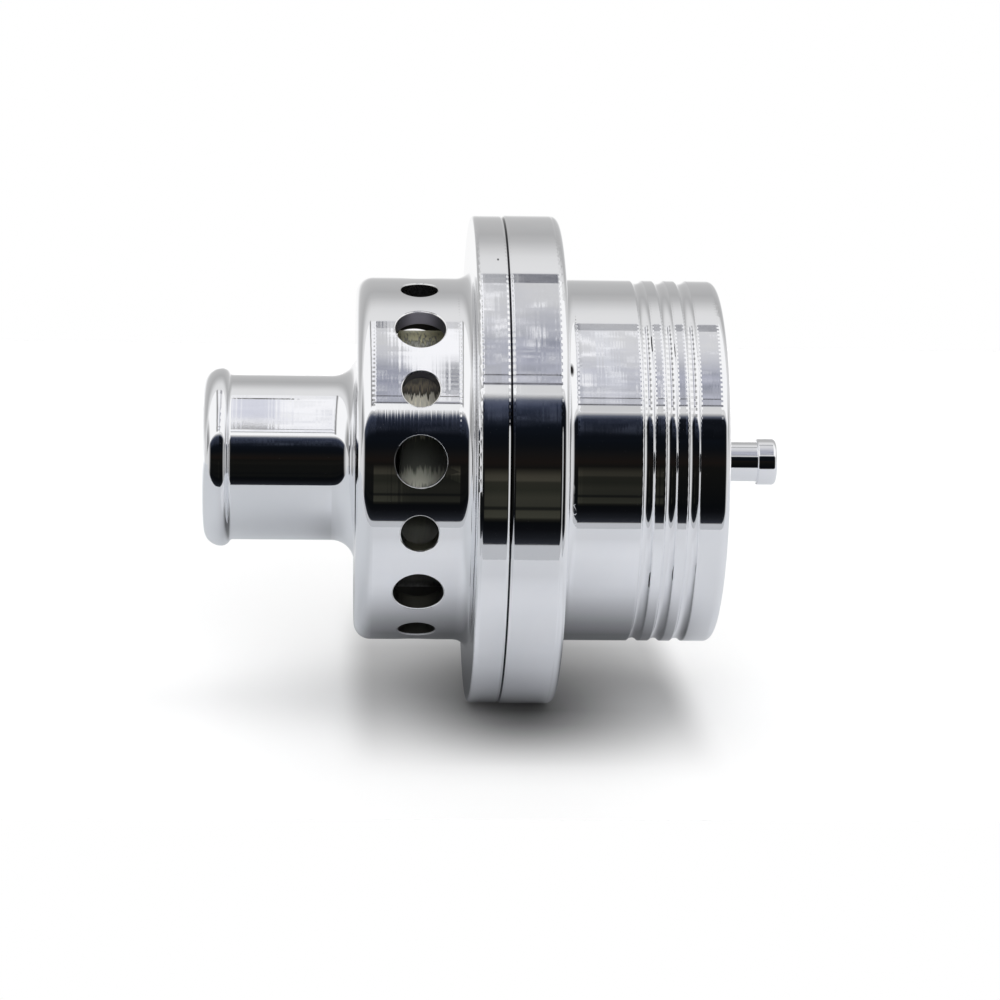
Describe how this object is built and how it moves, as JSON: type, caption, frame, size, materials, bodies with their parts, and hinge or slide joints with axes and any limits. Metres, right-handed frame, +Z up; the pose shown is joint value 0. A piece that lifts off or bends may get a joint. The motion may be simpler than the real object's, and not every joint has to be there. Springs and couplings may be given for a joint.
{
  "type": "blow off valve",
  "caption": "Inline piston blow off valve with a beaded hose spigot, a drum ringed with vent holes, bolted flanges, a grooved spring cap and an axial vacuum nipple.",
  "frame": {"origin": "on the valve's axis, at the end face of the inlet spigot", "axes": "+X along the valve's axis from the inlet to the vacuum nipple, +Z up as it lies in the picture"},
  "size_m": [0.0871, 0.0742, 0.0742],
  "materials": {
    "polished_body": "mirror polished",
    "satin_aluminium": "satin turned",
    "spring_steel": "drawn wire",
    "screw_steel": "satin stainless",
    "plated_steel": "zinc plated",
    "black_rubber": "matt moulded",
    "guide_plastic": "matt turned"
  },
  "bodies": {
    "valve": {"vent_body": "polished_body", "spring_cap": "polished_body", "vacuum_nipple": "polished_body", "flange_ring": "black_rubber", "preload_shim": "plated_steel", "return_spring": "spring_steel", "flange_screw_1": "screw_steel", "flange_screw_2": "screw_steel", "flange_screw_3": "screw_steel", "flange_screw_4": "screw_steel", "flange_screw_5": "screw_steel", "flange_screw_6": "screw_steel"},
    "piston": {"piston": "satin_aluminium", "wear_ring": "guide_plastic", "face_seal": "black_rubber", "piston_ring_front": "black_rubber", "piston_ring_rear": "black_rubber"}
  },
  "joints": [
    {"name": "piston_slide", "type": "slide", "parent": "valve", "child": "piston", "axis": [1, 0, 0], "range_m": [0, 0.009], "stiffness_N_per_m": 1800, "springref_m": -0.02, "deforming": ["return_spring"]}
  ]
}
